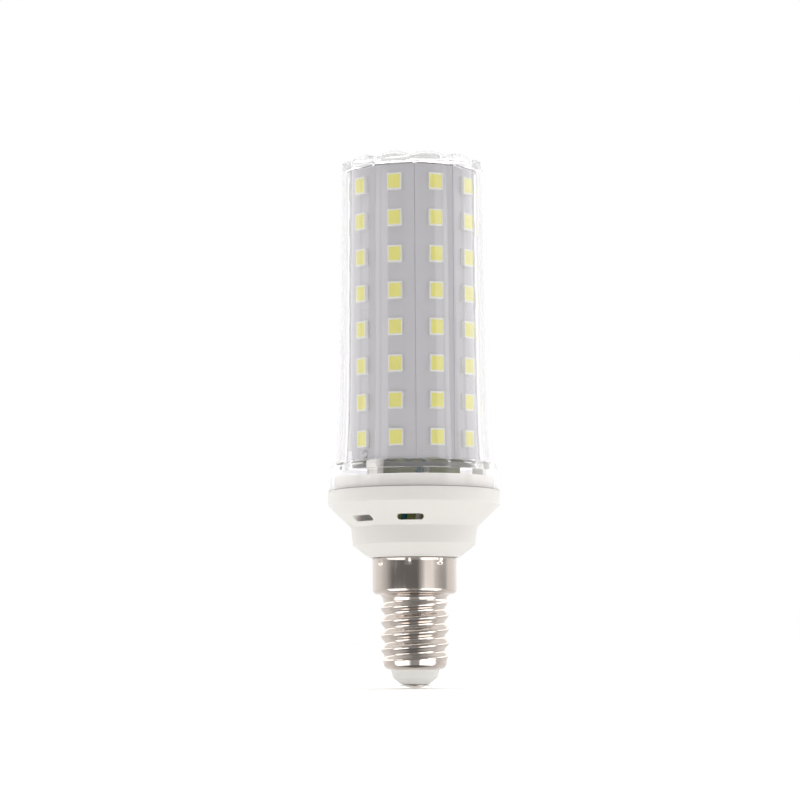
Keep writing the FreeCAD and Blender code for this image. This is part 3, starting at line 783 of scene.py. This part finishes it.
def make_front_strip():
    """A mitred strip with its outer long edges rounded."""
    outer = APOTHEM * math.tan(STRIP_STEP / 2) - STRIP_GAP / 2
    inner = STRIP_BACK * math.tan(STRIP_STEP / 2) - STRIP_GAP / 2
    middle = (0, -(APOTHEM + STRIP_BACK) / 2, (STRIP_FOOT + STRIP_TOP) / 2)
    strip = start_block(2 * outer, APOTHEM - STRIP_BACK, STRIP_TOP - STRIP_FOOT, middle)
    select_vertices(strip, lambda place: place.y > middle[1])
    bpy.ops.transform.resize(value=(inner / outer, 1, 1), center_override=AXIS_FOOT)
    select_vertices(strip, lambda place: place.y < middle[1])
    bpy.ops.mesh.bevel(offset=STRIP_ROUNDING * MM, segments=3, affect="EDGES")
    return strip


front_strip = make_front_strip()
print("strip,", len(front_strip.data.vertices), "vertices")

# %% [markdown]
# ## LED column: one LED
# A package is a white moulding with a shallow window, and the phosphor is cast into the window. The
# phosphor could be painted on the block, but the moulding's rim casts a thin shadow on it. So the front
# face is inset and pushed in to make the window, and a separate block of phosphor fills most of it.

# %% One LED at the front
LED_WIDTH, LED_LENGTH, LED_HEIGHT = 2.8, 3.5, 0.75
RIM_SIDE, RIM_END, RECESS = 0.2, 0.33, 0.1
BODY_ROUNDING, MOULD_TAPER = 0.06, 0.94
PHOSPHOR_DEPTH, PHOSPHOR_GAP = 0.07, 0.04
FACES_FRONT = -0.99
LED_FACE_Y = -APOTHEM - LED_HEIGHT


def make_front_body():
    """The white moulding with its window, lying on the front of the column at z = 0."""
    body = start_block(LED_WIDTH, LED_HEIGHT, LED_LENGTH, (0, LED_FACE_Y + LED_HEIGHT / 2, 0))
    bpy.ops.mesh.bevel(offset=BODY_ROUNDING * MM, segments=2, affect="EDGES")
    bpy.ops.mesh.select_mode(type="FACE")
    bpy.ops.mesh.select_all(action="DESELECT")
    bpy.ops.object.mode_set(mode="OBJECT")
    for face in body.data.polygons:
        face.select = face.normal.y < FACES_FRONT
    bpy.ops.object.mode_set(mode="EDIT")
    bpy.ops.mesh.inset(thickness=(RIM_SIDE - BODY_ROUNDING) * MM)
    window = (LED_LENGTH / 2 - RIM_END) / (LED_LENGTH / 2 - RIM_SIDE)
    bpy.ops.transform.resize(value=(1, 1, window), center_override=AXIS_FOOT)
    bpy.ops.mesh.extrude_region_move(TRANSFORM_OT_translate={"value": (0, RECESS * MM, 0)})
    bpy.ops.transform.resize(value=(MOULD_TAPER, 1, MOULD_TAPER), center_override=AXIS_FOOT)
    return body


def make_front_phosphor():
    """The phosphor on the window's floor, narrower at its back as the window is."""
    middle_y = LED_FACE_Y + RECESS - PHOSPHOR_DEPTH / 2
    width = LED_WIDTH - 2 * RIM_SIDE - PHOSPHOR_GAP
    length = LED_LENGTH - 2 * RIM_END - PHOSPHOR_GAP
    phosphor = start_block(width, PHOSPHOR_DEPTH, length, (0, middle_y, 0))
    select_vertices(phosphor, lambda place: place.y > middle_y)
    bpy.ops.transform.resize(value=(MOULD_TAPER, 1, MOULD_TAPER), center_override=AXIS_FOOT)
    return phosphor


front_body = make_front_body()
front_phosphor = make_front_phosphor()
print("LED,", len(front_body.data.vertices) + len(front_phosphor.data.vertices), "vertices")

# %% [markdown]
# ## LED column: all ten
# Each strip carries eight LEDs at an even pitch. An array modifier could repeat them, but a plain loop of
# copies is as short, and each row is then joined into one piece. The bodies and the phosphor stay apart,
# because they have different finishes and replace different nodes of the frame.

# %% The column
FIRST_LED_Z, LED_PITCH, LED_ROWS = 50.104, 7.43, 8


def column_of(part, turn):
    """The LEDs' bodies or phosphor of one strip, in edit mode."""
    heights = [FIRST_LED_Z + row * LED_PITCH for row in range(LED_ROWS)]
    return joined([copy_of(part, turn, (0, 0, height)) for height in heights])


for index in range(STRIP_COUNT):
    number = "%02d" % (index + 1)
    strip_turn = COLUMN_TURN + STRIP_STEP * (index + 0.5)
    strip = copy_of(front_strip, strip_turn)
    finish_piece(strip, "strip_" + number, strip_white)
    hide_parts("led_strip_" + number)
    bodies = column_of(front_body, strip_turn)
    finish_piece(bodies, "led_bodies_" + number, led_body, smooth_degrees=20)
    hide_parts("led_packages_" + number)
    windows = column_of(front_phosphor, strip_turn)
    finish_piece(windows, "led_windows_" + number, led_phosphor)
    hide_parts("led_phosphor_" + number)

# %% [markdown]
# ## LEDs on the top board
# Four more LEDs lie face up on the board between the strips' heads, where the clear top lets their light
# out. They are the same LED, so the front one is copied, laid on its back and set in a circle. After that
# the front strip and the front LED have served as patterns and are removed.

# %% LEDs on the top board
TOP_LEDS, TOP_LED_CIRCLE, TOP_LED_FACE = 4, 5.2, 105.154


def top_row(part):
    """The LEDs' bodies or phosphor on the top board, face up, in edit mode."""
    lifted = copy_of(part, move=(0, APOTHEM, 0))
    bpy.ops.transform.rotate(value=math.pi / 2, orient_axis="X", center_override=AXIS_FOOT)
    bpy.ops.transform.translate(value=(0, -TOP_LED_CIRCLE * MM, TOP_LED_FACE * MM))
    row = [copy_of(lifted, COLUMN_TURN + 2 * math.pi / TOP_LEDS * place) for place in range(TOP_LEDS)]
    fresh_start()
    bpy.data.objects.remove(lifted)
    return joined(row)


finish_piece(top_row(front_body), "top_led_bodies", led_body, smooth_degrees=20)
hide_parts("top_led_packages")
finish_piece(top_row(front_phosphor), "top_led_windows", led_phosphor)
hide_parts("top_led_phosphor")
fresh_start()
for pattern_piece in (front_strip, front_body, front_phosphor):
    bpy.data.objects.remove(pattern_piece)

# %% [markdown]
# ## Painted shade at the head of the column
# A thin dark line of shade runs along the strips' upper edges, thicker where two strips meet. Shade alone
# doesn't give it under such soft light, so it is painted shade: dark low blocks with rounded edges. The ten
# long ones stand as far out as the column's corners, a little more than half a millimetre in front of the
# strips' faces, and the ten short ones are set into the strips near the corners.

# %% Painted shade at the head
SHADE_THICKNESS, SHADE_SUNK, SHADE_ROUNDING = 0.1, 0.04, 0.03
LONG_WIDTH, LONG_RISE = 7.8, 0.2
LONG_OUT = APOTHEM / math.cos(STRIP_STEP / 2)
SHORT_WIDTH, SHORT_RISE, SHORT_TURN = 2.0, 0.45, math.radians(4)
SHORT_OUT = APOTHEM / math.cos(SHORT_TURN)


def shade_block(width, rise, out, angle):
    """A low block at the column's head, with its back near a distance from the axis, at an angle."""
    middle_y = -out - SHADE_THICKNESS / 2 + SHADE_SUNK
    start_block(width, SHADE_THICKNESS, rise, (0, middle_y, STRIP_TOP - rise / 2))
    bpy.ops.mesh.bevel(offset=SHADE_ROUNDING * MM, segments=2, affect="EDGES")
    bpy.ops.mesh.select_all(action="SELECT")
    turn_selected(COLUMN_TURN + angle)
    return bpy.context.object


# The near-black colour is painted shade for the shadow line at the strips' heads.
head_shade_dark = finish_of("head_shade_dark", (0.05, 0.05, 0.05), 0.5, drift=(0.3, 300), grain=(2500, 1.0, 0.2))
steps = range(STRIP_COUNT)
long_blocks = [shade_block(LONG_WIDTH, LONG_RISE, LONG_OUT, STRIP_STEP * (step + 0.5)) for step in steps]
short_blocks = [
    shade_block(SHORT_WIDTH, SHORT_RISE, SHORT_OUT, STRIP_STEP * step - SHORT_TURN) for step in steps
]
finish_piece(joined(long_blocks + short_blocks), "head_shade_line", head_shade_dark)

# %% [markdown]
# ## Solder blobs
# Two strips take the supply at their feet, each through a blob of solder. Molten solder draws itself into a
# flat dome, so half of a sphere is flattened against the strip: a sphere is squashed, and bisect cuts its
# back away.

# %% Solder blobs
SOLDER_STRIPS = (3, 8)
BLOB_RADIUS, BLOB_FLATNESS = 0.9, 0.66


def make_blob(index):
    """A flattened dome of solder on one strip's foot."""
    fresh_start()
    centre = Vector((0, -APOTHEM, STRIP_FOOT + BLOB_RADIUS)) * MM
    bpy.ops.mesh.primitive_uv_sphere_add(
        segments=24, ring_count=12, radius=BLOB_RADIUS * MM, location=centre
    )
    bpy.ops.object.transform_apply(location=True)
    bpy.ops.object.mode_set(mode="EDIT")
    bpy.ops.transform.resize(value=(1, BLOB_FLATNESS, 1), center_override=centre)
    bpy.ops.mesh.bisect(plane_co=centre, plane_no=(0, 1, 0), use_fill=True, clear_outer=True)
    bpy.ops.mesh.select_all(action="SELECT")
    turn_selected(COLUMN_TURN + STRIP_STEP * (index + 0.5))
    return bpy.context.object


solder = finish_of(
    "solder", (0.40, 0.40, 0.41), 0.2, metallic=1.0, drift=(0.1, 500), grain=(3000, 1.0, 0.2)
)
finish_piece(joined([make_blob(index) for index in SOLDER_STRIPS]), "solder_blobs", solder)
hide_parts("solder_joints")

# %% [markdown]
# ## The tent's light
# A white tent surrounds the lamp, and the camera stands in its wide dark opening. Bright metal shows this
# best: the opening is the dark middle of the cap, and the lamps left and right of the camera are its bright
# bands. The tent could be built from sheets and lamps, but they would have to be hidden from the camera and
# from every other view. So it is written into the world, as a ramp over the direction round the lamp for
# each height. The cap's upright walls mirror the level one, the undersides of its thread the low one, and
# the tube's flutes the raised one.

# %% Light by direction
# A stop is a direction in degrees from the camera's side, growing towards +X, and the tent's light there.
DEEP_LIGHT = [
    (-180, 0.7), (-107, 0.6), (-72, 0.35), (-42, 0.15), (42, 0.15), (72, 0.35), (107, 0.6), (180, 0.7),
]
LOW_LIGHT = [
    (-180, 0.9), (-120, 0.8), (-84, 0.6), (-74, 2.4), (-28, 2.4), (-18, 0.35), (14, 0.35), (22, 2.4),
    (72, 2.4), (84, 0.6), (120, 0.8), (180, 0.9),
]
LEVEL_LIGHT = [
    (-180, 1.0), (-143, 0.98), (-107, 0.77), (-83, 0.5), (-64, 0.16), (8, 0.15), (20, 0.5), (29, 1.0),
    (50, 0.95), (60, 0.6), (77, 0.42), (92, 0.4), (103, 0.76), (157, 1.05), (180, 1.0),
]
RAISED_LIGHT = [
    (-180, 1.0), (-150, 1.4), (-125, 1.6), (-90, 2.0), (-78, 0.7), (-72, 2.0), (-50, 2.0), (-45, 0.3),
    (42, 0.3), (47, 2.2), (70, 2.2), (76, 0.8), (88, 2.6), (125, 1.7), (150, 1.4), (180, 1.0),
]
STEEP_LIGHT = [
    (-180, 0.9), (-107, 0.9), (-60, 0.5), (-12, 0.22), (14, 0.22), (70, 0.5), (107, 0.9), (180, 0.9),
]
# Going up, each light takes over between two heights, which are the sines of the angle above level.
HIGHER_UP = [
    (LOW_LIGHT, -0.72, -0.6),
    (LEVEL_LIGHT, -0.2, -0.1),
    (RAISED_LIGHT, 0.06, 0.1),
    (STEEP_LIGHT, 0.26, 0.4),
]
print("tent of", 1 + len(HIGHER_UP), "lights, one above the other")

# %% [markdown]
# ## Direction in the world
# The world's shader knows the direction in which each ray leaves. Its X and Y give the angle round the
# lamp, which is turned into a place from 0 to 1 on a colour ramp, and its Z says which ramp counts.

# %% Direction round the lamp
scene = bpy.context.scene
scene.view_settings.view_transform = "Standard"
world = bpy.data.worlds.new("white_tent")
scene.world = world
world.use_nodes = True
world_tree = world.node_tree

direction = add(world_tree, "ShaderNodeTexCoord")
parts = add(world_tree, "ShaderNodeSeparateXYZ")
world_tree.links.new(direction.outputs["Generated"], parts.inputs[0])
to_front = add(world_tree, "ShaderNodeMath", operation="MULTIPLY")
to_front.inputs[1].default_value = -1
world_tree.links.new(parts.outputs["Y"], to_front.inputs[0])
azimuth = add(world_tree, "ShaderNodeMath", operation="ARCTAN2")
world_tree.links.new(parts.outputs["X"], azimuth.inputs[0])
world_tree.links.new(to_front.outputs[0], azimuth.inputs[1])
share = add(world_tree, "ShaderNodeMapRange")
share.inputs["From Min"].default_value = -math.pi
share.inputs["From Max"].default_value = math.pi
world_tree.links.new(azimuth.outputs[0], share.inputs["Value"])
print("direction from", len(world_tree.nodes), "nodes")

# %% [markdown]
# ## Ramps, one above the other
# A sky picture could hold the tent, but a few stops on a ramp are easier to read and to move. Each ramp is
# one ring of the tent, and a soft blend on the ray's height leads from one ring to the next.

# %% Ramps, one above the other
TENT_TINT = (1, 0.985, 0.97)


def direction_ramp(stops):
    """A colour ramp round the lamp, with a stop at each direction."""
    ramp = add(world_tree, "ShaderNodeValToRGB")
    elements = ramp.color_ramp.elements
    while len(elements) < len(stops):
        elements.new(0.5)
    for element, (degrees, light) in zip(elements, stops):
        element.position = (degrees + 180) / 360
        element.color = (*[light * tint for tint in TENT_TINT], 1)
    world_tree.links.new(share.outputs[0], ramp.inputs["Fac"])
    return ramp.outputs["Color"]


def blend(low, high, start, end):
    """One light fades into another from a start to an end, each the sine of an angle above level."""
    fade = add(world_tree, "ShaderNodeMapRange", interpolation_type="SMOOTHSTEP")
    fade.inputs["From Min"].default_value = start
    fade.inputs["From Max"].default_value = end
    mixed = add(world_tree, "ShaderNodeMix", data_type="RGBA")
    world_tree.links.new(parts.outputs["Z"], fade.inputs["Value"])
    world_tree.links.new(fade.outputs[0], mixed.inputs["Factor"])
    world_tree.links.new(low, mixed.inputs["A"])
    world_tree.links.new(high, mixed.inputs["B"])
    return mixed.outputs["Result"]


tent_light = direction_ramp(DEEP_LIGHT)
for stops, start, end in HIGHER_UP:
    tent_light = blend(tent_light, direction_ramp(stops), start, end)
print("tent light from", len(world_tree.nodes), "nodes")

# %% [markdown]
# ## Light for matt surfaces
# Matt surfaces don't mirror, so they need no bands: they gather light from everywhere. What lights them is
# plain, a dim wall that is brighter at the sides and a bright ceiling, with the pale floor below. Keeping
# it apart from what the metal mirrors lets the cap be striking while the housing stays even and doesn't
# clip to white.

# %% Soft light
WALL_GLOW = [
    (-180, 0.4), (-150, 0.6), (-125, 1.4), (-95, 1.3), (-70, 0.4), (0, 0.3), (72, 0.4), (92, 1.6),
    (130, 1.8), (150, 0.7), (180, 0.4),
]
ZENITH_GLOW = (1.95, 1.93, 1.90, 1)
CEILING_START, CEILING_END = 0.65, 0.85
ceiling_light = add(world_tree, "ShaderNodeRGB")
ceiling_light.outputs[0].default_value = ZENITH_GLOW
soft_light = blend(direction_ramp(WALL_GLOW), ceiling_light.outputs[0], CEILING_START, CEILING_END)
print("soft light: ceiling", ZENITH_GLOW[0], "and walls up to", max(light for _, light in WALL_GLOW))

# %% [markdown]
# ## What each ray sees
# The Light Path node tells the rays apart. Those from matt surfaces get the soft light and mirrored ones
# the tent. The camera sees the tent's back as plain white, and light that has come through the cover sees
# it a little greyer, which makes the clear plastic stand out from the white behind it.

# %% What each ray sees
BACK_SEEN = (1, 1, 1, 1)
BACK_THROUGH_COVER = (0.90, 0.895, 0.91, 1)
HALF_A_BOUNCE = 0.5
path = add(world_tree, "ShaderNodeLightPath")
no_bounce = add(world_tree, "ShaderNodeMath", operation="LESS_THAN")
no_bounce.inputs[1].default_value = HALF_A_BOUNCE
world_tree.links.new(path.outputs["Diffuse Depth"], no_bounce.inputs[0])
through_cover = add(world_tree, "ShaderNodeMath", operation="MULTIPLY")
world_tree.links.new(path.outputs["Is Transmission Ray"], through_cover.inputs[0])
world_tree.links.new(no_bounce.outputs[0], through_cover.inputs[1])
sees_back = add(world_tree, "ShaderNodeMath", operation="MAXIMUM")
world_tree.links.new(path.outputs["Is Camera Ray"], sees_back.inputs[0])
world_tree.links.new(through_cover.outputs[0], sees_back.inputs[1])
back_light = add(world_tree, "ShaderNodeMix", data_type="RGBA")
back_light.inputs["A"].default_value = BACK_SEEN
back_light.inputs["B"].default_value = BACK_THROUGH_COVER
world_tree.links.new(through_cover.outputs[0], back_light.inputs["Factor"])
by_bounce = add(world_tree, "ShaderNodeMix", data_type="RGBA")
world_tree.links.new(path.outputs["Is Diffuse Ray"], by_bounce.inputs["Factor"])
world_tree.links.new(tent_light, by_bounce.inputs["A"])
world_tree.links.new(soft_light, by_bounce.inputs["B"])
seen = add(world_tree, "ShaderNodeMix", data_type="RGBA")
world_tree.links.new(sees_back.outputs[0], seen.inputs["Factor"])
world_tree.links.new(by_bounce.outputs["Result"], seen.inputs["A"])
world_tree.links.new(back_light.outputs["Result"], seen.inputs["B"])
world_tree.links.new(seen.outputs["Result"], world_tree.nodes["Background"].inputs["Color"])
print("world with", len(world_tree.nodes), "nodes")

# %% [markdown]
# ## Floor
# The lamp stands on a pale sheet that runs on into the tent's back, with only a faint shadow under the cap.
# A plain matt plane gives the shadow. A little emission lifts it towards white, and only for the camera and
# for light that comes through the cover, so it adds no light to the lamp. The plane is hidden from mirrors,
# because the tent has its own low light.

# %% Floor
FLOOR_SIZE, FLOOR_LIFT = 8, 0.12
FLOOR_COLOUR = (0.9, 0.9, 0.9, 1)
fresh_start()
bpy.ops.mesh.primitive_plane_add(size=FLOOR_SIZE, location=(0, 0, 0))
floor = bpy.context.object
floor.name = "floor"
floor_white = new_finish("floor_white", roughness=1.0)
floor_shader = shader_of(floor_white)
floor_shader.inputs["Base Color"].default_value = FLOOR_COLOUR
floor_shader.inputs["Specular IOR Level"].default_value = 0
floor_shader.inputs["Emission Color"].default_value = (1, 1, 1, 1)
floor_tree = floor_white.node_tree
floor_path = add(floor_tree, "ShaderNodeLightPath")
floor_seen = add(floor_tree, "ShaderNodeMath", operation="MAXIMUM")
floor_lift = add(floor_tree, "ShaderNodeMath", operation="MULTIPLY")
floor_lift.inputs[1].default_value = FLOOR_LIFT
floor_tree.links.new(floor_path.outputs["Is Camera Ray"], floor_seen.inputs[0])
floor_tree.links.new(floor_path.outputs["Is Transmission Ray"], floor_seen.inputs[1])
floor_tree.links.new(floor_seen.outputs[0], floor_lift.inputs[0])
floor_tree.links.new(floor_lift.outputs[0], floor_shader.inputs["Emission Strength"])
floor.data.materials.append(floor_white)
floor.visible_glossy = False
print("floor", floor.dimensions[:])
